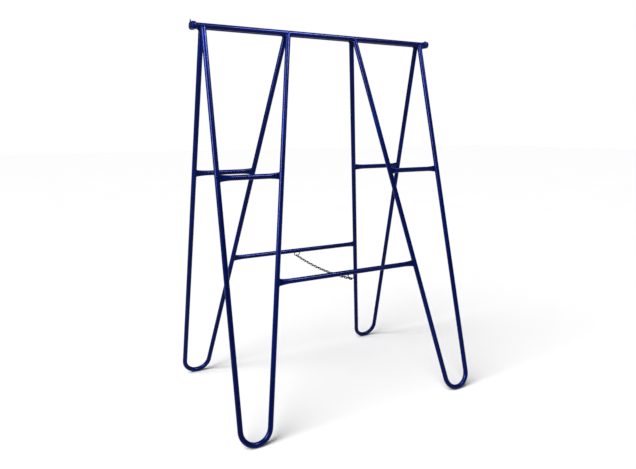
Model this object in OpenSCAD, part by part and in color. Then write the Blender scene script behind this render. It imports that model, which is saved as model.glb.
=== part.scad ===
// Folding steel sawhorse: two bent-tube frames hung side by side at the top,
// with a chain that stops them from opening further.
// X runs along the top rails, Y from the front frame to the back one, Z is up.
// The origin is on the floor, in the middle of the feet, with the sawhorse open.

/* [Overall] */
// Height from the floor to the top of the rails
top_h = 1500; // [1250:10:1800]
// Length of each top rail, between the end plates
rail_l = 1072; // [1040:2:1300]
// Angle between the two open frames
open_angle = 27.2; // [20:0.2:34]

/* [Tube] */
// Outer diameter of the tube of rails, legs and rungs
tube_d = 20; // [18:0.5:24]
// Wall of the tube
tube_wall = 1.5; // [1:0.1:2.5]
// Clear space between the two top rails
rail_gap = 3.5; // [2:0.1:8]

/* [Legs] */
// Where the outer leg tubes meet the rail, from the middle
leg_outer_x = 495; // [440:1:505]
// Where the inner leg tubes meet the rail, from the middle
leg_inner_x = 153; // [100:1:220]
// Middle of each foot bend, from the middle of the sawhorse
foot_x = 471; // [400:1:480]
// Bend radius of the foot, to the middle of the tube
foot_r = 58; // [48:1:80]

/* [Rungs] */
// Distance along the frame from the rail to the short rungs
short_rung_drop = 559; // [450:1:700]
// Distance along the frame from the rail to the long rung
long_rung_drop = 960; // [850:1:1080]
// Height of the flattened end of a rung
flare_h = 28; // [25:0.5:30]
// Thickness of the flattened end of a rung
flare_t = 6; // [4:0.5:12]
// Length over which a rung flattens
flare_l = 45; // [25:1:70]

/* [Hinge] */
// Width of each hinge strap along the rails
strap_w = 12; // [8:1:16]
// Thickness of the hinge strap
strap_t = 4; // [3:0.5:6]
// Thickness of the end plates
plate_t = 4; // [3:0.5:6]
// Width of the end plates, across both rails
plate_w = 41; // [38:0.5:48]
// Height of the end plates, without the plank stop
plate_h = 24; // [22:0.5:28]
// Height of the pointed plank stop above the rails
ear_h = 11; // [8:1:40]
// Width of the plank stop at the height of the rails' axes
ear_w = 20; // [12:1:30]
// Radius of the tip of the plank stop
ear_tip_r = 1.5; // [1:0.5:3]
// Radial play of the back rail in the hinge straps
hinge_play = 0.1; // [0.02:0.02:0.1]
// Play between the ends of the back rail and the end plates
end_play = 0.5; // [0.3:0.1:1.5]

/* [Chain] */
// Diameter of the chain's wire
link_wire = 3.2; // [2.5:0.1:4]
// Length of the hole in a link
link_inner_l = 18.6; // [16:0.1:22]
// Width of the hole in a link
link_inner_w = 5; // [4.8:0.1:7]
// Space between two links where they bear on each other
link_gap = 0.35; // [0.3:0.05:0.6]
// Least spare length of the chain when the frames are open
chain_slack = 1; // [0.5:0.5:40]
// Diameter of the wire of the staples that hold the chain
staple_wire = 4; // [3:0.1:4.2]
// Width of a staple, between the middles of its two legs
staple_w = 26; // [22:1:36]
// Distance from the middle of the rung to the middle of the staple's bottom
staple_drop = 26; // [24:1:36]
// Bend radius of the staple, to the middle of the wire
staple_r = 9; // [4:0.5:10]

/* [Hidden] */

$fn = 64;

// Signs of the two frames and of the two ends
FRONT = -1;
BACK = 1;
LEFT = -1;
RIGHT = 1;

BLUE = [0.05, 0.07, 0.45];
ZINC = [0.55, 0.57, 0.60];

// Gap that a weld fills between two cut tubes
weld_gap = 0.05;
// How much bending swells the tube, and how far the straight tube reaches into the bend
bend_swell = 0.1;
bend_lap = 1;
// Segments round a flattened rung end
flare_fn = 32;
// Thickness of the two slices that a flare is stretched between
slice = 0.2;
// Overlap that lets a cut run clear of a face
clear = 1;

tube_r = tube_d / 2;
bore_r = tube_r - tube_wall;
spread = open_angle / 2;
rail_y = (tube_d + rail_gap) / 2;
rail_z = top_h - tube_r;

// Legs, in the plane of a frame: x across, z up, with the rail's axis at z = 0
leg_drop = (top_h - tube_d) / cos(spread);
bend_z = foot_r - leg_drop;
outer_reach = norm([foot_x - leg_outer_x, bend_z]);
inner_reach = norm([foot_x - leg_inner_x, bend_z]);
outer_lean = atan2(foot_x - leg_outer_x, -bend_z) + asin(foot_r / outer_reach);
inner_lean = atan2(foot_x - leg_inner_x, -bend_z) - asin(foot_r / inner_reach);
outer_l = sqrt(pow(outer_reach, 2) - pow(foot_r, 2));
inner_l = sqrt(pow(inner_reach, 2) - pow(foot_r, 2));

// Hinge straps and end plates
strap_out_r = tube_r + hinge_play + strap_t;
strap_x = rail_l / 2 - strap_w;

// Chain: upright links turn round the wires of the flat ones, one after the other.
// Places are [y, z], and seat is from the middle of an upright link to the wire in it.
link_seat = link_inner_l / 2 - link_wire / 2 - link_gap;
staple_seat = link_inner_l / 2 - staple_wire / 2 - link_gap;
staple_reach = long_rung_drop + staple_drop;
chain_start = [
    -rail_y - staple_reach * sin(spread),
    rail_z - staple_reach * cos(spread)
];
chord = -2 * chain_start[0];
// Links in fours and three more, so that both ends are upright and the middle is flat
four_links = 4 * (link_inner_l - link_gap);
chain_need = chord + chain_slack + staple_wire + link_gap;
chain_fours = ceil((chain_need - 3 * (link_inner_l - link_gap)) / four_links);
link_count = 4 * chain_fours + 3;
last_link = link_count - 1;
middle_link = last_link / 2;

function is_upright(i) = i % 2 == 0;
// From the wire at a link's start to its middle, and from there to the wire at its end
function head(i) = !is_upright(i) ? (link_inner_l + link_wire) / 2
    : i == 0 ? staple_seat : link_seat;
function tail(i) = !is_upright(i) ? (link_inner_l + link_wire) / 2
    : i == last_link ? staple_seat : link_seat;
function link_l(i) = head(i) + tail(i);
// Slope of a link, when the links at the ends slope by end_slope
function slope(i, end_slope) = end_slope * (2 * i / last_link - 1);
function sum_y(i, end_slope) =
    i < 0 ? 0 : link_l(i) * cos(slope(i, end_slope)) + sum_y(i - 1, end_slope);
function sum_z(i, end_slope) =
    i < 0 ? 0 : link_l(i) * sin(slope(i, end_slope)) + sum_z(i - 1, end_slope);
// The end slope at which the chain just spans the chord, found by halving
function solve_slope(low, high, tries) =
    tries == 0 ? (low + high) / 2
    : sum_y(last_link, (low + high) / 2) > chord
        ? solve_slope((low + high) / 2, high, tries - 1)
        : solve_slope(low, (low + high) / 2, tries - 1);
end_slope = solve_slope(0, 80, 40);

// Puts a shape drawn in the plane of a frame where that frame stands
module in_frame(side) {
    translate([0, side * rail_y, rail_z])
        rotate([side * spread, 0, 0])
            children();
}

module rail_cylinder(r, l) {
    rotate([0, 90, 0])
        cylinder(r = r, h = l, center = true);
}

// A tube along X, open at both ends
module rail(l) {
    difference() {
        rail_cylinder(tube_r, l);
        rail_cylinder(bore_r, l + 2 * clear);
    }
}

// A straight piece of leg from the rail's axis downwards
module leg_cylinder(x, lean, r, l) {
    translate([x, 0, 0])
        rotate([0, 180 - lean, 0])
            cylinder(r = r, h = l);
}

// The foot bend and the two straight pieces up from it, of one bent leg on the right
module leg_solid(r) {
    translate([foot_x, 0, bend_z]) {
        rotate([0, -outer_lean, 0])
            translate([foot_r, 0, -bend_lap])
                cylinder(r = r, h = outer_l + bend_lap);
        rotate([0, -inner_lean, 0])
            translate([-foot_r, 0, -bend_lap])
                cylinder(r = r, h = inner_l + bend_lap);
        rotate([90, 0, 0])
            rotate([0, 0, 180 + inner_lean])
                rotate_extrude(angle = 180 + outer_lean - inner_lean)
                    translate([foot_r, 0])
                        circle(r = r + bend_swell);
    }
}

// One length of tube bent into a leg, with its two ends cut to fit the rail
module leg(end) {
    mirror([end == LEFT ? 1 : 0, 0, 0])
        difference() {
            leg_solid(tube_r);
            leg_solid(bore_r);
            rail_cylinder(tube_r + weld_gap, rail_l);
        }
}

// A slice across a rung, round or flattened
module rung_slice(h, t) {
    rotate([0, 90, 0])
        linear_extrude(slice, center = true)
            union() {
                for (end = [-1, 1])
                    translate([end * (h - t) / 2, 0])
                        circle(d = t, $fn = flare_fn);
                square([h - t + slice, t], center = true);
            }
}

// One flattened end, from a round slice at x = 0 to a flat one at x = l
module flare(d, h, t, l) {
    hull() {
        rung_slice(d, d - slice);
        translate([l, 0, 0])
            rung_slice(h, t);
    }
}

// The outside or the bore of a rung, from x0 to x1 with both ends flattened
module rung_solid(x0, x1, shrink) {
    d = tube_d - 2 * shrink;
    h = flare_h - 2 * shrink;
    t = flare_t - 2 * shrink;
    translate([x0 + flare_l, 0, 0])
        rotate([0, 90, 0])
            cylinder(d = d, h = x1 - x0 - 2 * flare_l);
    translate([x1 - flare_l, 0, 0])
        flare(d, h, t, flare_l + clear);
    translate([x0 + flare_l, 0, 0])
        mirror([1, 0, 0])
            flare(d, h, t, flare_l + clear);
}

// A rung between two leg tubes, given by where they leave the rail and how they lean
module rung(drop, left_x, left_lean, right_x, right_lean) {
    x0 = left_x + drop * tan(left_lean) + tube_r;
    x1 = right_x + drop * tan(right_lean) - tube_r;
    difference() {
        translate([0, 0, -drop])
            difference() {
                rung_solid(x0 - clear, x1 + clear, 0);
                rung_solid(x0 - clear, x1 + clear, tube_wall);
            }
        leg_cylinder(left_x, left_lean, tube_r + weld_gap, leg_drop);
        leg_cylinder(right_x, right_lean, tube_r + weld_gap, leg_drop);
    }
}

module short_rung(end) {
    mirror([end == LEFT ? 1 : 0, 0, 0])
        rung(short_rung_drop, leg_inner_x, inner_lean, leg_outer_x, outer_lean);
}

module long_rung() {
    rung(long_rung_drop, -leg_inner_x, -inner_lean, leg_inner_x, inner_lean);
}

// A bent wire under the long rung, its bottom straight so that a link can turn on it
module staple() {
    half = staple_w / 2;
    difference() {
        translate([0, 0, -staple_reach])
            union() {
                rail_cylinder(staple_wire / 2, staple_w - 2 * staple_r);
                for (end = [0, 1])
                    mirror([end, 0, 0]) {
                        translate([half, 0, staple_r])
                            cylinder(d = staple_wire, h = staple_drop - staple_r);
                        translate([half - staple_r, 0, staple_r])
                            rotate([90, 0, 0])
                                rotate([0, 0, -90])
                                    rotate_extrude(angle = 90)
                                        translate([staple_r, 0])
                                            circle(d = staple_wire);
                    }
            }
        translate([0, 0, -long_rung_drop])
            rail_cylinder(tube_r + weld_gap, staple_w + 2 * staple_wire);
    }
}

// An outline with round ends, in the plane across the rails
module round_ended(w, h) {
    for (side = [FRONT, BACK])
        translate([side * (w - h) / 2, 0])
            circle(d = h);
    square([w - h, h], center = true);
}

// Turns an outline drawn in Y and Z into a plate across the rails at the right-hand end
module across_rails(x, t) {
    translate([x, 0, rail_z])
        rotate([90, 0, 90])
            linear_extrude(t)
                children();
}

// A flat strap bent round both rails: tight on the front one, a bearing for the back one
module hinge_strap(end) {
    mirror([end == LEFT ? 1 : 0, 0, 0])
        across_rails(strap_x, strap_w)
            difference() {
                round_ended(2 * (rail_y + strap_out_r), 2 * strap_out_r);
                translate([FRONT * rail_y, 0])
                    circle(r = tube_r + weld_gap);
                translate([BACK * rail_y, 0])
                    circle(r = tube_r + hinge_play);
                square([2 * rail_y, 2 * (tube_r + weld_gap)], center = true);
            }
}

// The plate that closes the rails, with a pointed stop that keeps planks on
module end_plate(end) {
    tip_z = tube_r + ear_h - ear_tip_r;
    mirror([end == LEFT ? 1 : 0, 0, 0])
        across_rails(rail_l / 2, plate_t) {
            round_ended(plate_w, plate_h);
            polygon([
                [-ear_w / 2, 0], [ear_w / 2, 0],
                [ear_tip_r, tip_z], [-ear_tip_r, tip_z]
            ]);
            translate([0, tip_z])
                circle(r = ear_tip_r);
        }
}

// One link, its length along X and flat in the XY plane
module link() {
    half = (link_inner_l - link_inner_w) / 2;
    turn_r = (link_inner_w + link_wire) / 2;
    for (end = [0, 1])
        rotate([0, 0, 180 * end]) {
            translate([half, 0, 0])
                rotate([0, 0, -90])
                    rotate_extrude(angle = 180)
                        translate([turn_r, 0])
                            circle(d = link_wire);
            translate([-half, turn_r, 0])
                rotate([0, 90, 0])
                    cylinder(d = link_wire, h = 2 * half);
        }
}

// A run of links of the open chain, from one number to another
module chain_run(first, last) {
    for (i = [first : last]) {
        y = chain_start[0] + sum_y(i - 1, end_slope) + head(i) * cos(slope(i, end_slope));
        z = chain_start[1] + sum_z(i - 1, end_slope) + head(i) * sin(slope(i, end_slope));
        translate([0, y, z])
            rotate([slope(i, end_slope), 0, 0])
                rotate([0, 0, 90])
                    rotate([is_upright(i) ? 90 : 0, 0, 0])
                        link();
    }
}

module front_rail() { color(BLUE) translate([0, FRONT * rail_y, rail_z]) rail(rail_l); }
module front_leg_left() { color(BLUE) in_frame(FRONT) leg(LEFT); }
module front_leg_right() { color(BLUE) in_frame(FRONT) leg(RIGHT); }
module front_short_rung_left() { color(BLUE) in_frame(FRONT) short_rung(LEFT); }
module front_short_rung_right() { color(BLUE) in_frame(FRONT) short_rung(RIGHT); }
module front_long_rung() { color(BLUE) in_frame(FRONT) long_rung(); }
module front_chain_staple() { color(BLUE) in_frame(FRONT) staple(); }

module back_rail() {
    color(BLUE)
        translate([0, BACK * rail_y, rail_z])
            rail(rail_l - 2 * end_play);
}
module back_leg_left() { color(BLUE) in_frame(BACK) leg(LEFT); }
module back_leg_right() { color(BLUE) in_frame(BACK) leg(RIGHT); }
module back_short_rung_left() { color(BLUE) in_frame(BACK) short_rung(LEFT); }
module back_short_rung_right() { color(BLUE) in_frame(BACK) short_rung(RIGHT); }
module back_long_rung() { color(BLUE) in_frame(BACK) long_rung(); }
module back_chain_staple() { color(BLUE) in_frame(BACK) staple(); }

module hinge_strap_left() { color(BLUE) hinge_strap(LEFT); }
module hinge_strap_right() { color(BLUE) hinge_strap(RIGHT); }
module end_plate_left() { color(BLUE) end_plate(LEFT); }
module end_plate_right() { color(BLUE) end_plate(RIGHT); }

module chain_front_run() { color(ZINC) chain_run(0, middle_link - 1); }
module chain_middle_link() { color(ZINC) chain_run(middle_link, middle_link); }
module chain_back_run() { color(ZINC) chain_run(middle_link + 1, last_link); }

front_rail();
front_leg_left();
front_leg_right();
front_short_rung_left();
front_short_rung_right();
front_long_rung();
front_chain_staple();
back_rail();
back_leg_left();
back_leg_right();
back_short_rung_left();
back_short_rung_right();
back_long_rung();
back_chain_staple();
hinge_strap_left();
hinge_strap_right();
end_plate_left();
end_plate_right();
chain_front_run();
chain_middle_link();
chain_back_run();
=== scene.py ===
"""Finishes a folding tube sawhorse: enamel, weld beads, flattened rung ends, chain and studio."""

import math
from functools import partial

import bmesh
import bpy
from bpy.props import FloatProperty, FloatVectorProperty, IntProperty, PointerProperty
from mathutils import Matrix, Vector, noise


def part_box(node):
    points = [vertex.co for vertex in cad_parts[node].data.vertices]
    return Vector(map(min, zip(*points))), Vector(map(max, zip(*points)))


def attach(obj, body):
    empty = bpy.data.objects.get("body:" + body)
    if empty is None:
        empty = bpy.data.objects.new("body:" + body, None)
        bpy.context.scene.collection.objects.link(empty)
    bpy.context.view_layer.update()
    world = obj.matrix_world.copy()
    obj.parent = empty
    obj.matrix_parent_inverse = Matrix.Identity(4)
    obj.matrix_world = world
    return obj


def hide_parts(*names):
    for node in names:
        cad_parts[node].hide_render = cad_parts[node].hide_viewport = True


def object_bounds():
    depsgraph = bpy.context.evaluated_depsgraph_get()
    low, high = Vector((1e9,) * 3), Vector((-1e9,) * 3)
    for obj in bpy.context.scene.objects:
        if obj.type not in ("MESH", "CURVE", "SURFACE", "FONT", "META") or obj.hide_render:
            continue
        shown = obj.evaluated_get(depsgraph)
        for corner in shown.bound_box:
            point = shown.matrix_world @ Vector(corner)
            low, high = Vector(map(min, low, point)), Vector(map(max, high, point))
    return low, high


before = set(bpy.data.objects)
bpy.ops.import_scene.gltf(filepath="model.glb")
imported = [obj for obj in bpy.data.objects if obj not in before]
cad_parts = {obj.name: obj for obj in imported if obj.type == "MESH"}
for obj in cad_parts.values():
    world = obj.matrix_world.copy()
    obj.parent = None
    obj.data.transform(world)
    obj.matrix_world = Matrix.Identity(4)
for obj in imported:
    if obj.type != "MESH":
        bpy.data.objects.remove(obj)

bl_info = {
    "name": "Folding sawhorse finish",
    "version": (1, 0, 0),
    "blender": (4, 5, 0),
    "location": "3D View > Sidebar > Sawhorse",
    "description": "Builds the visible finish of a folding tube sawhorse on its packed model",
    "category": "Object",
}

CAD_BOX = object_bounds()
MM = 0.001
ENDS = {"left": -1, "right": 1}
FRAMES = ("front", "back")

# Points round one ring of a rung, and round one ring of a weld bead
RING = 48
BEAD_RING = 10
# Heights at which the leg tubes are read, as shares of the rail's height
LEG_LEVELS = (0.25, 0.85)
# Rings over a flattened rung end, and how much closer together they lie towards its tip
FLARE_STEPS = 30
FLARE_SPACING = 1.15
# How far a rung end is sunk into its leg, as a share of the tube's radius
SUNK = 0.3
# Hollows that the press leaves in a rung end: place and width as shares of the flare's
# length, and depth as a share of the dimple's
DENT = (0.42, 0.20, 1.0)
CREASE = (0.16, 0.10, 0.45)
# Width of both hollows, as a share of the rung's height
HOLLOW_WIDTH = 0.30
# Unevenness of a weld bead as a share of its radius, and its lumps to the metre
LUMP_DEPTH = 0.16
LUMPS = 170.0
# Rings to each ripple of a bead, and to the whole bead of a staple
RIPPLE_RINGS = 7
STAPLE_BEAD_RINGS = 64
# How closely the cut of a leg's top follows the rail's roundness
CUT_ROUNDNESS = 0.90
# Size of the beads of a rung end and of a hinge, as shares of a leg's bead
RUNG_BEAD_SHARE = 0.6
HINGE_BEAD_SHARE = 0.7
# Arcs of the beads round a rail and round a strap, from straight up, in degrees
RAIL_BEAD_ARC = (-8, 188)
STRAP_BEAD_ARC = (12, 168)
# Angles in degrees: flatter than this is one face, sharper than these is an edge
FLAT_ANGLE = 1.0
EDGE_ANGLE = 32.0
SMOOTH_ANGLE = 38.0

KEY_PLACE = (-2.9, -1.1, 3.4)
SOFTBOXES = {
    "window_light": {"place": (-2.3, -0.6, 2.1), "target": (0.1, -0.1, 1.45), "size": (0.7, 1.4)},
    "top_light": {"place": (0.9, -1.6, 2.9), "target": (-0.1, -0.1, 1.2), "size": (1.0, 0.5)},
}
SENSOR_WIDTH = 36.0


# ---------------------------------------------------------------- sizes and colours

class SawhorseShapeSettings(bpy.types.PropertyGroup):
    """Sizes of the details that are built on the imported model"""

    flare_length: FloatProperty(
        name="Flare length", description="Length over which a rung end flattens",
        default=0.046, min=0.02, max=0.08, unit="LENGTH")
    flare_height: FloatProperty(
        name="Flare height", description="Height of a rung where it meets a leg",
        default=0.028, min=0.02, max=0.031, unit="LENGTH")
    flare_curve: FloatProperty(
        name="Flare curve", description="How late along its length a rung end widens",
        default=1.65, min=1.0, max=3.0)
    dimple_depth: FloatProperty(
        name="Dimple depth", description="Depth of the dent that the press leaves in a rung end",
        default=0.0012, min=0.0, max=0.002, unit="LENGTH")
    bead_radius: FloatProperty(
        name="Bead radius", description="Radius of the weld beads between tubes",
        default=0.0033, min=0.001, max=0.004, unit="LENGTH")
    small_bead_radius: FloatProperty(
        name="Small bead radius", description="Radius of the weld beads on the staples",
        default=0.0013, min=0.0006, max=0.002, unit="LENGTH")
    ripple_pitch: FloatProperty(
        name="Ripple pitch", description="Distance between two ripples of a weld bead",
        default=0.0030, min=0.002, max=0.006, unit="LENGTH")
    ripple_depth: FloatProperty(
        name="Ripple depth", description="Height of the ripples, as a share of the bead's radius",
        default=0.13, min=0.0, max=0.3, subtype="FACTOR")
    edge_round: FloatProperty(
        name="Edge rounding", description="Width of the rounded edges of straps and end plates",
        default=0.0014, min=0.0003, max=0.0018, unit="LENGTH")
    edge_steps: IntProperty(
        name="Edge steps", description="Faces across each rounded edge", default=3, min=1, max=5)


class SawhorseColourSettings(bpy.types.PropertyGroup):
    """Colours and gloss of the finishes"""

    enamel: FloatVectorProperty(
        name="Enamel", description="Colour of the enamel where it lies thick",
        default=(0.0003, 0.0014, 0.024), min=0.0, max=1.0, size=3, subtype="COLOR")
    enamel_thin: FloatVectorProperty(
        name="Thin enamel", description="Colour of the enamel where it has flowed thin",
        default=(0.0005, 0.0032, 0.042), min=0.0, max=1.0, size=3, subtype="COLOR")
    enamel_sheen: FloatVectorProperty(
        name="Enamel reflection", description="Tint of what the enamel reflects",
        default=(0.33, 0.40, 1.0), min=0.0, max=1.0, size=3, subtype="COLOR")
    enamel_roughness: FloatProperty(
        name="Enamel roughness", description="Roughness of clean enamel",
        default=0.24, min=0.05, max=0.6, subtype="FACTOR")
    scuff: FloatVectorProperty(
        name="Scuff", description="Colour of enamel rubbed dull by planks and floor",
        default=(0.030, 0.038, 0.115), min=0.0, max=1.0, size=3, subtype="COLOR")
    zinc: FloatVectorProperty(
        name="Zinc", description="Colour of the chain's zinc coat",
        default=(0.030, 0.032, 0.050), min=0.0, max=1.0, size=3, subtype="COLOR")
    zinc_dark: FloatVectorProperty(
        name="Dull zinc", description="Colour of the chain where the zinc has dulled",
        default=(0.003, 0.0035, 0.009), min=0.0, max=1.0, size=3, subtype="COLOR")
    floor: FloatVectorProperty(
        name="Floor", description="Colour of the studio floor",
        default=(0.95, 0.95, 0.955), min=0.0, max=1.0, size=3, subtype="COLOR")


class SawhorseStudioSettings(bpy.types.PropertyGroup):
    """Camera, lights and floor"""

    camera_place: FloatVectorProperty(
        name="Camera place", description="Where the camera stands",
        default=(-1.15022, -2.06817, 1.11342), size=3, subtype="TRANSLATION", unit="LENGTH")
    camera_yaw: FloatProperty(
        name="Camera yaw", description="Turn of the camera to the right of the Y axis",
        default=math.radians(28.704), unit="ROTATION")
    camera_pitch: FloatProperty(
        name="Camera pitch", description="Tilt of the camera above the horizon",
        default=math.radians(-10.567), unit="ROTATION")
    camera_roll: FloatProperty(
        name="Camera roll", description="Roll of the camera about its line of sight",
        default=math.radians(-0.259), unit="ROTATION")
    lens: FloatProperty(
        name="Lens", description="Focal length on a sensor 36 mm wide",
        default=31.437, min=10.0, max=120.0)
    backdrop: FloatProperty(
        name="Backdrop", description="Brightness of the white backdrop", default=1.0, min=0.0)
    fill: FloatProperty(
        name="Fill", description="Brightness of the light that comes from all round",
        default=0.15, min=0.0)
    key_strength: FloatProperty(
        name="Key light", description="Strength of the large soft light, high on the left",
        default=4.15, min=0.0)
    key_width: FloatProperty(
        name="Key width", description="How wide the key light looks from the sawhorse",
        default=math.radians(46.0), min=0.0, subtype="ANGLE")
    window_power: FloatProperty(
        name="Window light", description="Power of the near light, high on the left",
        default=150.0, min=0.0, unit="POWER")
    top_power: FloatProperty(
        name="Top light", description="Power of the near light above the rails",
        default=150.0, min=0.0, unit="POWER")
    floor_size: FloatProperty(
        name="Floor size", description="Half the width of the floor",
        default=30.0, min=4.0, unit="LENGTH")


# ---------------------------------------------------------------- shader nodes

class Value:
    """An output socket, with arithmetic that adds Math nodes."""

    def __init__(self, finish, socket):
        self.finish = finish
        self.socket = socket

    def math(self, operation, *others, clamp=False):
        """A Math node on this value and the others."""
        settings = {"operation": operation, "use_clamp": clamp}
        return self.finish.node("ShaderNodeMath", settings, dict(enumerate((self, *others))))

    def __add__(self, other):
        return self.math("ADD", other)

    __radd__ = __add__

    def __mul__(self, other):
        return self.math("MULTIPLY", other)

    __rmul__ = __mul__

    def __sub__(self, other):
        return self.math("SUBTRACT", other)

    def __rsub__(self, other):
        return self.finish.node(
            "ShaderNodeMath", {"operation": "SUBTRACT"}, {0: other, 1: self})

    def clamped(self):
        """The value held between 0 and 1."""
        return self.math("ADD", 0.0, clamp=True)

    def step(self, low, high):
        """0 below low, 1 above high, and smooth between them."""
        return self.finish.node(
            "ShaderNodeMapRange", {"interpolation_type": "SMOOTHSTEP"},
            {"Value": self, "From Min": low, "From Max": high})


class ShaderTree:
    """The shader nodes of a material or a world, empty at first."""

    def __init__(self, owner):
        owner.use_nodes = True
        self.tree = owner.node_tree
        self.tree.nodes.clear()

    def node(self, kind, settings=None, sockets=None, out=0):
        """Adds a node, its settings first and then the values or links of its sockets.
        Gives one of its outputs, or nothing from a node that has none."""
        added = self.tree.nodes.new(kind)
        for name, value in (settings or {}).items():
            setattr(added, name, value)
        for key, value in (sockets or {}).items():
            target = added.inputs[key]
            if isinstance(value, Value):
                self.tree.links.new(value.socket, target)
            elif hasattr(target.default_value, "__len__") and len(value) == 3:
                size = len(target.default_value)
                target.default_value = (*value, 1.0)[:size]
            else:
                target.default_value = value
        return Value(self, added.outputs[out]) if added.outputs else None


class Finish(ShaderTree):
    """A material made of nodes around one surface shader."""

    def __init__(self, name):
        self.material = bpy.data.materials.new(name)
        super().__init__(self.material)

    def place(self):
        """Where a point lies on the sawhorse."""
        return self.node("ShaderNodeTexCoord", out="Object")

    def height(self):
        """Height of a point above the floor."""
        return self.node("ShaderNodeSeparateXYZ", {}, {0: self.place()}, out=2)

    def grain(self, scale, detail=2.0, roughness=0.5, stretch=(1.0, 1.0, 1.0)):
        """Noise with a number of cells per metre, from 0 to 1."""
        vector = self.node(
            "ShaderNodeVectorMath", {"operation": "MULTIPLY"}, {0: self.place(), 1: stretch})
        return self.node(
            "ShaderNodeTexNoise", {},
            {"Vector": vector, "Scale": scale, "Detail": detail, "Roughness": roughness})

    def blend(self, mask, low, high):
        """A colour between two, by a mask."""
        return self.node(
            "ShaderNodeMix", {"data_type": "RGBA"}, {0: mask, 6: low, 7: high}, out=2)

    def bump(self, height, depth):
        """A normal from a height between 0 and 1 and its depth in metres."""
        return self.node(
            "ShaderNodeBump", {}, {"Height": height, "Distance": depth, "Strength": 1.0})

    def surface(self, sockets):
        """The surface shader with its sockets, linked to the material's output."""
        shader = self.node("ShaderNodeBsdfPrincipled", {}, sockets)
        self.node("ShaderNodeOutputMaterial", {}, {"Surface": shader})
        return self.material


def enamel_finish(name, colours, dull=0.0, waves=1.0):
    """Thick blue gloss enamel, rubbed a little on the rails and under the feet."""
    finish = Finish(name)
    height = finish.height()
    top = CAD_BOX[1].z
    # Thin patches, where the enamel has run
    flow = finish.grain(5.0, detail=3.0)
    mottle = finish.grain(85.0, detail=2.0, roughness=0.6)
    thin = (flow * 0.7 + mottle * 0.3).step(0.36, 0.66)
    colour = finish.blend(thin, tuple(colours.enamel), tuple(colours.enamel_thin))
    # Scuffs along the tops of the rails, and under the feet
    streaks = finish.grain(60.0, detail=4.0, roughness=0.65, stretch=(0.25, 1.0, 1.0))
    streaks = streaks.step(0.60, 0.74)
    rubbed_top = height.step(top - 0.0040, top - 0.0005) * streaks * 0.55
    specks = finish.grain(240.0, detail=3.0, roughness=0.7).step(0.50, 0.62)
    rubbed_foot = (1 - height.step(0.001, 0.010)) * specks * 0.9
    scuffs = (rubbed_top + rubbed_foot).clamped()
    colour = finish.blend(scuffs, colour, tuple(colours.scuff))
    # Orange peel and sags in the skin, and smudges in its gloss
    peel = finish.grain(330.0, detail=1.0)
    sag = finish.grain(34.0, detail=1.0, stretch=(1.0, 1.0, 0.35))
    smudge = finish.grain(16.0, detail=4.0, roughness=0.6)
    rough = colours.enamel_roughness + dull + (smudge - 0.5) * 0.16 + scuffs * 0.25
    skin = peel * 0.14 + sag * 0.86
    return finish.surface({
        "Base Color": colour,
        "Roughness": rough.clamped(),
        "Specular Tint": (*colours.enamel_sheen, 1.0),
        "Specular IOR Level": 0.20,
        "Metallic": 0.30,
        "Normal": finish.bump(skin, 0.0004 * waves),
    })


def zinc_finish(name, colours):
    """Dull zinc plate, darker and bluish in patches."""
    finish = Finish(name)
    patches = finish.grain(70.0, detail=4.0, roughness=0.65).step(0.38, 0.62)
    spangle = finish.grain(420.0, detail=2.0, roughness=0.6)
    colour = finish.blend(patches, tuple(colours.zinc_dark), tuple(colours.zinc))
    return finish.surface({
        "Base Color": colour,
        "Metallic": (0.75 + patches * 0.2).clamped(),
        "Roughness": (0.34 + spangle * 0.25 + (1 - patches) * 0.12).clamped(),
        "Normal": finish.bump(spangle, 0.00008),
    })


def floor_finish(name, colours):
    """Matt pale floor with the faintest unevenness."""
    finish = Finish(name)
    cloud = finish.grain(1.4, detail=4.0)
    deeper = tuple(0.985 * part for part in colours.floor)
    return finish.surface({
        "Base Color": finish.blend(cloud, deeper, tuple(colours.floor)),
        "Roughness": (0.62 + cloud * 0.1).clamped(),
        "Specular IOR Level": 0.2,
    })


def finish_of(name, maker):
    """One material by name, made the first time that it is asked for."""
    found = bpy.data.materials.get(name)
    return found or maker(name, bpy.context.scene.sawhorse_colours)


def enamel():
    return finish_of("blue_enamel_paint", enamel_finish)


def bead_enamel():
    return finish_of("blue_enamel_on_welds", partial(enamel_finish, dull=0.04, waves=1.6))


def zinc():
    return finish_of("dull_zinc", zinc_finish)


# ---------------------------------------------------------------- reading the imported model

def slice_points(node, height):
    """Where the edges of a CAD node cross a level plane."""
    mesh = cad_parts[node].data
    points = []
    for edge in mesh.edges:
        a, b = (mesh.vertices[i].co for i in edge.vertices)
        if (a.z - height) * (b.z - height) < 0:
            points.append(a.lerp(b, (height - a.z) / (b.z - a.z)))
    return sorted(points, key=lambda point: point.x)


def middle_of(points):
    """Middle of the box round some points."""
    return Vector([(min(part) + max(part)) / 2 for part in zip(*points)])


def leg_middles(node, height):
    """Middles of the two tubes of a bent leg at one height, from left to right."""
    points = slice_points(node, height)
    gaps = [b.x - a.x for a, b in zip(points, points[1:])]
    cut = gaps.index(max(gaps)) + 1
    return middle_of(points[:cut]), middle_of(points[cut:])


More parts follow.
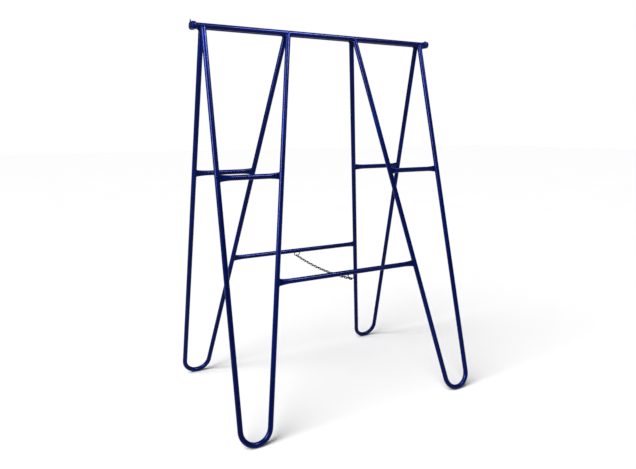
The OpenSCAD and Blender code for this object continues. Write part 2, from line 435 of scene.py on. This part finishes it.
class TubeFrame:
    """One of the two frames: where it stands, and the lines of its leg tubes."""

    def __init__(self, name):
        self.name = name
        self.body = f"{name}_frame"
        low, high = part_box(f"{name}_rail")
        self.radius = (high.z - low.z) / 2
        rail_middle = (low + high) / 2
        levels = [share * high.z for share in LEG_LEVELS]
        lines = {
            end: list(zip(*(leg_middles(f"{name}_leg_{end}", level) for level in levels)))
            for end in ENDS
        }
        foot, knee = lines["right"][0]
        tilt = math.atan2(foot.y - knee.y, knee.z - foot.z)
        self.place = (
            Matrix.Translation((0, rail_middle.y, rail_middle.z)) @ Matrix.Rotation(tilt, 4, "X"))
        self.inverse = self.place.inverted()
        self.tubes = {}
        for end, pair in lines.items():
            names = ("outer", "inner") if end == "left" else ("inner", "outer")
            for part, points in zip(names, pair):
                low_point, high_point = (self.inverse @ point for point in points)
                slope = (low_point.x - high_point.x) / (high_point.z - low_point.z)
                self.tubes[end, part] = (high_point.x + slope * high_point.z, slope)

    def tube_x(self, tube, drop):
        """Where a leg tube's axis passes, some way down from the rail."""
        start, slope = self.tubes[tube]
        return start + slope * drop

    def depth_of(self, node):
        """How thick a CAD node is across the plane of the frame."""
        depths = [(self.inverse @ vertex.co).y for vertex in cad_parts[node].data.vertices]
        return max(depths) - min(depths)

    def rungs(self):
        """Each rung: its node, the tubes it joins from left to right, and its drop."""
        pairs = {
            "short_rung_left": (("left", "outer"), ("left", "inner")),
            "short_rung_right": (("right", "inner"), ("right", "outer")),
            "long_rung": (("left", "inner"), ("right", "inner")),
        }
        for part, tubes in pairs.items():
            node = f"{self.name}_{part}"
            low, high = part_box(node)
            yield node, tubes, -(self.inverse @ ((low + high) / 2)).z


# ---------------------------------------------------------------- mesh tools

def add_piece(name, mesh, body, material):
    """Puts a mesh in the scene as a piece that rides on a body."""
    piece = bpy.data.objects.new(name, mesh)
    bpy.context.scene.collection.objects.link(piece)
    mesh.materials.clear()
    mesh.materials.append(material)
    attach(piece, body)
    return piece


def smooth(mesh, angle=180.0):
    """Shades a mesh smooth, except across edges sharper than an angle in degrees."""
    mesh.polygons.foreach_set("use_smooth", [True] * len(mesh.polygons))
    if angle < 180.0:
        mesh.set_sharp_from_angle(angle=math.radians(angle))


def band_faces(count, size, start, closed):
    """Faces between rings of points that follow one another."""
    faces = []
    for i in range(count if closed else count - 1):
        for j in range(size):
            k = (j + 1) % size
            a, b = start + i * size, start + (i + 1) % count * size
            faces.append((a + j, a + k, b + k, b + j))
    return faces


def loft(rings, place, closed=False, capped=True):
    """Points and faces of a skin over rings of points."""
    size = len(rings[0])
    points = [place @ point for ring in rings for point in ring]
    faces = band_faces(len(rings), size, 0, closed)
    if capped and not closed:
        last = (len(rings) - 1) * size
        faces.append(tuple(reversed(range(size))))
        faces.append(tuple(range(last, last + size)))
    return points, faces


def join_shapes(name, shapes):
    """One mesh of several shapes, its faces turned outwards."""
    points, faces = [], []
    for more_points, more_faces in shapes:
        start = len(points)
        points += more_points
        faces += [tuple(i + start for i in face) for face in more_faces]
    mesh = bpy.data.meshes.new(name)
    mesh.from_pydata(points, [], faces)
    work = bmesh.new()
    work.from_mesh(mesh)
    bmesh.ops.recalc_face_normals(work, faces=work.faces)
    work.to_mesh(mesh)
    work.free()
    smooth(mesh)
    return mesh


# ---------------------------------------------------------------- rungs

def stadium_point(height, thickness, share):
    """Y and Z of a point round a flattened tube, by its share of the way round."""
    flat = (height - thickness) / 2
    radius = thickness / 2
    arc = math.pi * radius
    way = share % 1 * (4 * flat + 2 * arc)
    if way < 2 * flat:
        return radius, way - flat
    way -= 2 * flat
    if way < arc:
        turn = way / radius
        return radius * math.cos(turn), flat + radius * math.sin(turn)
    way -= arc
    if way < 2 * flat:
        return -radius, flat - way
    turn = (way - 2 * flat) / radius
    return -radius * math.cos(turn), -flat - radius * math.sin(turn)


def flat_thickness(radius, height):
    """Thickness of a tube pressed to a height. Its wall keeps its length round the tube."""
    return (math.pi * radius - height) / (math.pi / 2 - 1)


def hollow_depth(shape, away):
    """Depth of the hollow along the middle of a rung end, some way in from its tip."""
    depth = 0.0
    for place, width, share in (DENT, CREASE):
        spot = (away - place * shape.flare_length) / (width * shape.flare_length)
        depth += share * shape.dimple_depth * math.exp(-spot * spot)
    return depth


def rung_ring(shape, radius, x, x_end, slope, inward):
    """One ring round a rung. It leans with the leg near the end at x_end."""
    away = max(inward * (x - x_end), 0.0)
    part = max(1 - away / shape.flare_length, 0.0)
    pressed = part ** shape.flare_curve
    height = 2 * radius + (shape.flare_height - 2 * radius) * pressed
    thickness = flat_thickness(radius, height)
    depth = hollow_depth(shape, away)
    ring = []
    for i in range(RING):
        y, z = stadium_point(height, thickness, i / RING)
        across = z / (HOLLOW_WIDTH * height)
        hollow = depth * math.exp(-across * across)
        y -= math.copysign(min(hollow, abs(y)), y)
        ring.append(Vector((x - slope * z * part * part, y, z)))
    return ring


def rung_shape(frame_part, tubes, drop, shape):
    """A tube between two legs, flattened at both ends into fishtails."""
    radius = frame_part.radius
    sunk = SUNK * radius
    ends = []
    for tube, inward in zip(tubes, (1, -1)):
        slope = frame_part.tubes[tube][1]
        ends.append((frame_part.tube_x(tube, drop) + inward * (radius - sunk), slope, inward))
    (left_x, left_slope, _), (right_x, right_slope, _) = ends
    reach = shape.flare_length + sunk
    spots = [reach * (i / FLARE_STEPS) ** FLARE_SPACING for i in range(FLARE_STEPS + 1)]
    rings = [
        rung_ring(shape, radius, left_x + spot, left_x + sunk, left_slope, 1) for spot in spots]
    rings += [
        rung_ring(shape, radius, right_x - spot, right_x - sunk, right_slope, -1)
        for spot in reversed(spots)]
    lift = Matrix.Translation((0, 0, -drop))
    return loft(rings, frame_part.place @ lift)


# ---------------------------------------------------------------- weld beads

def bead_rings(length, shape, ripple_rings=RIPPLE_RINGS):
    """How many rings a bead of a length needs."""
    return round(length / shape.ripple_pitch * ripple_rings)


def bead(path, outward, radius, shape, place, closed=True, flanks=1.0):
    """A rippled weld bead along a path, standing out along a direction at each point.
    Flanks is its size where it faces straight out of the frame's plane."""
    count = len(path)
    travelled = [0.0]
    for a, b in zip(path, path[1:]):
        travelled.append(travelled[-1] + (b - a).length)
    total = travelled[-1] + ((path[0] - path[-1]).length if closed else 0.0)
    ripples = max(round(total / shape.ripple_pitch), 1)
    rings = []
    for i, (point, out) in enumerate(zip(path, outward)):
        before = path[i - 1] if closed or i else path[i]
        after = path[(i + 1) % count] if closed or i < count - 1 else path[i]
        along = (after - before).normalized()
        out = (out - along * out.dot(along)).normalized()
        side = along.cross(out)
        turn = ripples * travelled[i] / total
        ripple = shape.ripple_depth * (0.5 + 0.5 * math.sin(2 * math.pi * turn))
        lump = LUMP_DEPTH * noise.noise(place @ point * LUMPS)
        grown = radius * (0.94 + ripple + lump)
        grown *= 1 - (1 - flanks) * abs(out.y) ** 1.5
        if not closed:
            # An open bead tapers over a tenth of its length at each end
            edge = min(i, count - 1 - i) / (0.10 * count)
            grown *= math.sin(math.pi / 2 * min(edge, 1.0)) * 0.92 + 0.08
        ring = []
        for j in range(BEAD_RING):
            angle = 2 * math.pi * j / BEAD_RING
            ring.append(point + grown * (0.95 * math.cos(angle) * out + math.sin(angle) * side))
        rings.append(ring)
    return loft(rings, place, closed)


def leg_top_bead(frame_part, tube, shape):
    """The bead round a leg tube where it meets the rail."""
    start, slope = frame_part.tubes[tube]
    lean = math.atan(slope)
    across = Vector((math.cos(lean), 0, math.sin(lean)))
    along = Vector((math.sin(lean), 0, -math.cos(lean)))
    seat = frame_part.radius + 0.15 * shape.bead_radius
    path, outward = [], []
    count = bead_rings(2 * math.pi * frame_part.radius, shape)
    for i in range(count):
        angle = 2 * math.pi * i / count
        from_leg = math.cos(angle) * across + math.sin(angle) * Vector((0, 1, 0))
        y = seat * math.sin(angle)
        # The cut stops a little short of the rail's side, so the bead doesn't come to a point
        z = -math.sqrt(max(seat * seat - CUT_ROUNDNESS * y * y, 0))
        down = (seat * math.cos(angle) * across.z - z) / math.cos(lean)
        point = Vector((start, 0, 0)) + down * along + seat * from_leg
        from_rail = Vector((0, point.y, point.z)).normalized()
        path.append(point)
        outward.append((from_leg + from_rail).normalized())
    return bead(path, outward, shape.bead_radius, shape, frame_part.place, flanks=0.45)


def rung_end_bead(frame_part, tube, inward, drop, shape):
    """The bead round a flattened rung end, on the side of a leg tube."""
    start, slope = frame_part.tubes[tube]
    radius = frame_part.radius
    thickness = flat_thickness(radius, shape.flare_height)
    flat = (shape.flare_height - thickness) / 2
    from_leg = Vector((inward, 0.0, 0.0))
    path, outward = [], []
    count = bead_rings(2 * shape.flare_height, shape, ripple_rings=8)
    for i in range(count):
        y, z = stadium_point(shape.flare_height, thickness, i / count)
        out_of_leg = inward * math.sqrt(radius * radius - y * y) / math.cos(math.atan(slope))
        path.append(Vector((start + slope * (drop - z) + out_of_leg, y, z - drop)))
        from_rung = Vector((0, y, math.copysign(max(abs(z) - flat, 0), z)))
        outward.append((from_leg + from_rung.normalized()).normalized())
    return bead(
        path, outward, RUNG_BEAD_SHARE * shape.bead_radius, shape, frame_part.place)


def staple_bead(frame_part, x, wire, drop, shape):
    """The bead round a staple's wire, under the rung."""
    radius = frame_part.radius
    path, outward = [], []
    for i in range(STAPLE_BEAD_RINGS):
        angle = 2 * math.pi * i / STAPLE_BEAD_RINGS
        away = Vector((math.cos(angle), math.sin(angle), 0))
        y = wire * away.y
        path.append(
            Vector((x + wire * away.x, y, -drop - math.sqrt(radius * radius - y * y))))
        outward.append((away + Vector((0, 0, -1))).normalized())
    return bead(path, outward, shape.small_bead_radius, shape, frame_part.place)


def arc_bead(x, side, centre, radius, arc, shape):
    """A bead on an arc round a rail, from one angle to another, both from straight up."""
    path, outward = [], []
    first, last = (math.radians(turn) for turn in arc)
    count = bead_rings(abs(last - first) * radius, shape)
    for i in range(count + 1):
        angle = first + (last - first) * i / count
        away = Vector((0, -math.sin(angle), math.cos(angle)))
        path.append(Vector((x, centre.y, centre.z)) + radius * away)
        outward.append((away - Vector((side, 0, 0))).normalized())
    return bead(
        path, outward, HINGE_BEAD_SHARE * shape.bead_radius, shape, Matrix.Identity(4),
        closed=False)


# ---------------------------------------------------------------- straps and end plates

def softened(node, shape):
    """A copy of a CAD node's mesh with its sharp edges rounded."""
    work = bmesh.new()
    work.from_mesh(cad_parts[node].data)
    bmesh.ops.remove_doubles(work, verts=work.verts, dist=0.01 * MM)
    bmesh.ops.dissolve_limit(
        work, angle_limit=math.radians(FLAT_ANGLE), verts=work.verts, edges=work.edges)
    sharp = [
        edge for edge in work.edges
        if len(edge.link_faces) == 2 and edge.calc_face_angle() > math.radians(EDGE_ANGLE)]
    bmesh.ops.bevel(
        work, geom=sharp, offset=shape.edge_round, segments=shape.edge_steps,
        profile=0.5, affect="EDGES", clamp_overlap=True)
    bmesh.ops.recalc_face_normals(work, faces=work.faces)
    mesh = bpy.data.meshes.new(f"soft_{node}")
    work.to_mesh(mesh)
    work.free()
    smooth(mesh, angle=SMOOTH_ANGLE)
    return mesh


# ---------------------------------------------------------------- operators

class SAWHORSE_OT_tubes(bpy.types.Operator):
    """Enamels the rails, the bent legs and the chain staples"""

    bl_idname = "sawhorse.tubes"
    bl_label = "Rails, legs and staples"

    def execute(self, context):
        for name in FRAMES:
            for part in ("rail", "leg_left", "leg_right", "chain_staple"):
                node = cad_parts[f"{name}_{part}"]
                node.material_slots[0].material = enamel()
        return {"FINISHED"}


class SAWHORSE_OT_rungs(bpy.types.Operator):
    """Builds the six rungs with their flattened fishtail ends"""

    bl_idname = "sawhorse.rungs"
    bl_label = "Rungs"

    def execute(self, context):
        shape = context.scene.sawhorse_shape
        for name in FRAMES:
            part = TubeFrame(name)
            for node, tubes, drop in part.rungs():
                title = f"{node}_tube"
                mesh = join_shapes(title, [rung_shape(part, tubes, drop, shape)])
                piece = add_piece(title, mesh, part.body, enamel())
                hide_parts(node)
        return {"FINISHED"}


class SAWHORSE_OT_hinges(bpy.types.Operator):
    """Rounds the edges of the hinge straps and the end plates"""

    bl_idname = "sawhorse.hinges"
    bl_label = "Hinge straps and end plates"

    def execute(self, context):
        shape = context.scene.sawhorse_shape
        for end in ENDS:
            for part in ("hinge_strap", "end_plate"):
                node = f"{part}_{end}"
                piece = add_piece(
                    f"{node}_rounded", softened(node, shape), "front_frame", enamel())
                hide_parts(node)
        return {"FINISHED"}


class SAWHORSE_OT_frame_welds(bpy.types.Operator):
    """Lays the weld beads of both frames: leg tops, rung ends and staples"""

    bl_idname = "sawhorse.frame_welds"
    bl_label = "Welds of the frames"

    def execute(self, context):
        shape = context.scene.sawhorse_shape
        for name in FRAMES:
            part = TubeFrame(name)
            tops = [leg_top_bead(part, tube, shape) for tube in part.tubes]
            rungs = list(part.rungs())
            ends = [
                rung_end_bead(part, tube, inward, drop, shape)
                for _, tubes, drop in rungs for tube, inward in zip(tubes, (1, -1))]
            _, _, long_drop = rungs[-1]
            wire = part.depth_of(f"{name}_chain_staple") / 2
            wire_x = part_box(f"{name}_chain_staple")[1].x - wire
            staples = [
                staple_bead(part, side * wire_x, wire, long_drop, shape)
                for side in ENDS.values()]
            for group, shapes in (("leg", tops), ("rung", ends), ("staple", staples)):
                title = f"{name}_{group}_welds"
                add_piece(
                    title, join_shapes(title, shapes), part.body, bead_enamel())
        return {"FINISHED"}


class SAWHORSE_OT_hinge_welds(bpy.types.Operator):
    """Lays the weld beads that hold the straps and end plates to the front rail"""

    bl_idname = "sawhorse.hinge_welds"
    bl_label = "Welds of the hinges"

    def execute(self, context):
        shape = context.scene.sawhorse_shape
        low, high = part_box("front_rail")
        centre = (low + high) / 2
        rail_radius = (high.z - low.z) / 2
        for end, side in ENDS.items():
            strap_low, strap_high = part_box(f"hinge_strap_{end}")
            inner_x, outer_x = sorted((strap_low.x, strap_high.x), key=abs)
            on_rail = rail_radius + 0.3 * MM
            on_strap = (strap_high.z - strap_low.z) / 2 - 1.6 * MM
            beads = [
                arc_bead(inner_x, side, centre, on_rail, RAIL_BEAD_ARC, shape),
                arc_bead(outer_x, -side, centre, on_strap, STRAP_BEAD_ARC, shape),
            ]
            title = f"hinge_{end}_welds"
            add_piece(title, join_shapes(title, beads), "front_frame", bead_enamel())
        return {"FINISHED"}


class SAWHORSE_OT_chain(bpy.types.Operator):
    """Gives the chain its dull zinc"""

    bl_idname = "sawhorse.chain"
    bl_label = "Chain"

    def execute(self, context):
        for name in ("chain_front_run", "chain_middle_link", "chain_back_run"):
            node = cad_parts[name]
            node.material_slots[0].material = zinc()
        return {"FINISHED"}


def aim(lamp, place, target):
    """Puts a lamp at a place and turns it to a point."""
    lamp.location = place
    lamp.rotation_euler = (Vector(target) - Vector(place)).to_track_quat("-Z", "Y").to_euler()


def add_softbox(name, place, target, size, power, spared):
    """A soft rectangular light that the camera doesn't see. It leaves one object unlit."""
    light = bpy.data.lights.new(name, "AREA")
    light.shape = "RECTANGLE"
    light.size, light.size_y = size
    light.energy = power
    lamp = bpy.data.objects.new(name, light)
    bpy.context.scene.collection.objects.link(lamp)
    aim(lamp, place, target)
    lamp.visible_camera = False
    dark = bpy.data.collections.new(f"{name}_spares")
    dark.objects.link(spared)
    lamp.light_linking.receiver_collection = dark
    dark.collection_objects[0].light_linking.link_state = "EXCLUDE"


def surround(studio):
    """A white backdrop that lights the sawhorse only faintly."""
    world = bpy.data.worlds.new("white_surround")
    nodes = ShaderTree(world)
    seen = nodes.node("ShaderNodeLightPath", out="Is Camera Ray")
    strength = nodes.node(
        "ShaderNodeMapRange", {},
        {"Value": seen, "To Min": studio.fill, "To Max": studio.backdrop})
    background = nodes.node(
        "ShaderNodeBackground", {}, {"Color": (1.0, 1.0, 1.0), "Strength": strength})
    nodes.node("ShaderNodeOutputWorld", {}, {"Surface": background})
    return world


class SAWHORSE_OT_studio(bpy.types.Operator):
    """Sets up the pale floor, the soft light and the camera"""

    bl_idname = "sawhorse.studio"
    bl_label = "Studio"

    def execute(self, context):
        scene = context.scene
        studio = scene.sawhorse_studio
        half = studio.floor_size
        mesh = bpy.data.meshes.new("floor")
        corners = [(-half, -half, 0), (half, -half, 0), (half, half, 0), (-half, half, 0)]
        mesh.from_pydata([Vector(corner) for corner in corners], [], [(0, 1, 2, 3)])
        floor = bpy.data.objects.new("floor", mesh)
        scene.collection.objects.link(floor)
        mesh.materials.append(finish_of("pale_floor", floor_finish))

        scene.world = surround(studio)
        key = bpy.data.lights.new("key_light", "SUN")
        key.energy = studio.key_strength
        key.angle = studio.key_width
        key_lamp = bpy.data.objects.new("key_light", key)
        scene.collection.objects.link(key_lamp)
        aim(key_lamp, KEY_PLACE, (0, 0, 0))
        powers = {"window_light": studio.window_power, "top_light": studio.top_power}
        for name, softbox in SOFTBOXES.items():
            add_softbox(name, power=powers[name], spared=floor, **softbox)

        camera_data = bpy.data.cameras.new("camera")
        camera_data.lens = studio.lens
        camera_data.sensor_width = SENSOR_WIDTH
        camera = bpy.data.objects.new("camera", camera_data)
        camera.matrix_world = (
            Matrix.Translation(studio.camera_place)
            @ Matrix.Rotation(-studio.camera_yaw, 4, "Z")
            @ Matrix.Rotation(math.pi / 2 + studio.camera_pitch, 4, "X")
            @ Matrix.Rotation(studio.camera_roll, 4, "Z"))
        scene.collection.objects.link(camera)
        scene.camera = camera
        scene.view_settings.view_transform = "Standard"
        return {"FINISHED"}


class SAWHORSE_PT_panel(bpy.types.Panel):
    """Lists the steps and settings of the sawhorse finish"""

    bl_idname = "SAWHORSE_PT_panel"
    bl_label = "Sawhorse"
    bl_space_type = "VIEW_3D"
    bl_region_type = "UI"
    bl_category = "Sawhorse"

    def draw(self, context):
        for step in STEPS:
            self.layout.operator(step.bl_idname)
        for settings in SETTINGS:
            box = self.layout.box()
            group = getattr(context.scene, settings)
            for name in group.bl_rna.properties.keys():
                if name not in ("rna_type", "name"):
                    box.prop(group, name)


SETTINGS = {
    "sawhorse_shape": SawhorseShapeSettings,
    "sawhorse_colours": SawhorseColourSettings,
    "sawhorse_studio": SawhorseStudioSettings,
}
STEPS = (
    SAWHORSE_OT_tubes,
    SAWHORSE_OT_rungs,
    SAWHORSE_OT_hinges,
    SAWHORSE_OT_frame_welds,
    SAWHORSE_OT_hinge_welds,
    SAWHORSE_OT_chain,
    SAWHORSE_OT_studio,
)


def register():
    for item in (*SETTINGS.values(), *STEPS, SAWHORSE_PT_panel):
        bpy.utils.register_class(item)
    for name, group in SETTINGS.items():
        setattr(bpy.types.Scene, name, PointerProperty(type=group))


def unregister():
    for name in SETTINGS:
        delattr(bpy.types.Scene, name)
    for item in reversed((*SETTINGS.values(), *STEPS, SAWHORSE_PT_panel)):
        bpy.utils.unregister_class(item)


def main():
    register()
    bpy.ops.sawhorse.tubes()
    bpy.ops.sawhorse.rungs()
    bpy.ops.sawhorse.hinges()
    bpy.ops.sawhorse.frame_welds()
    bpy.ops.sawhorse.hinge_welds()
    bpy.ops.sawhorse.chain()
    bpy.ops.sawhorse.studio()


if __name__ == "__main__":
    main()
